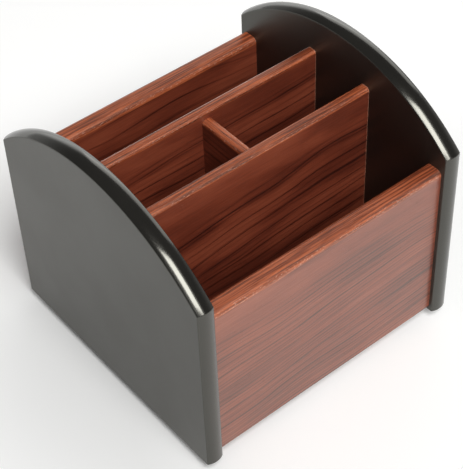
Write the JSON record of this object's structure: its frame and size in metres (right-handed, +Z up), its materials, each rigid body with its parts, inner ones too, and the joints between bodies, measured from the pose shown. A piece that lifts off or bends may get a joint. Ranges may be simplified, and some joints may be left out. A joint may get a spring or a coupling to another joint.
{
  "type": "rotating pen holder",
  "caption": "Desk pen holder with arched black end panels and wood-grain cross boards that part it into open bays, turning on a hidden ball-bearing base.",
  "frame": {"origin": "on the desk, at the axis the body turns about, which is the middle of the overall outline", "axes": "+Z up along the turning axis, +X along the cross boards to the right end panel, -Y towards the front board"},
  "size_m": [0.1576, 0.1528, 0.1429],
  "materials": {
    "black_lacquer": "satin black lacquer on fibreboard",
    "wood_grain": "satin red-brown wood-grain foil on fibreboard",
    "beech": "raw turned beech",
    "zinc_steel": "zinc-plated pressed steel",
    "ball_steel": "polished bearing steel",
    "nylon": "natural nylon",
    "black_rubber": "matte rubber"
  },
  "bodies": {
    "base": {"base_disc": "black_lacquer", "foot_pads": "black_rubber", "lower_bearing_plate": "zinc_steel", "lower_plate_screws": "zinc_steel", "bearing_eyelet": "zinc_steel"},
    "organizer": {"left_end_panel": "black_lacquer", "right_end_panel": "black_lacquer", "front_board": "wood_grain", "back_board": "wood_grain", "front_divider": "wood_grain", "rear_divider": "wood_grain", "pen_partition": "wood_grain", "floor_board": "wood_grain", "board_dowels": "beech", "divider_dowels": "beech", "floor_dowels": "beech", "partition_dowels": "beech", "upper_bearing_plate": "zinc_steel", "upper_plate_screws": "zinc_steel"},
    "ball_ring": {"bearing_balls": "ball_steel", "ball_cage": "nylon"}
  },
  "joints": [
    {"name": "organizer_swivel", "type": "hinge", "parent": "base", "child": "organizer", "pos_m": [0, 0, 0.015], "axis": [0, 0, 1], "continuous": true},
    {"name": "ball_ring_roll", "type": "hinge", "parent": "base", "child": "ball_ring", "pos_m": [0, 0, 0.015], "axis": [0, 0, 1], "continuous": true}
  ],
  "couplings": [
    {"joint": "ball_ring_roll", "follows": "organizer_swivel", "ratio": 0.5}
  ]
}
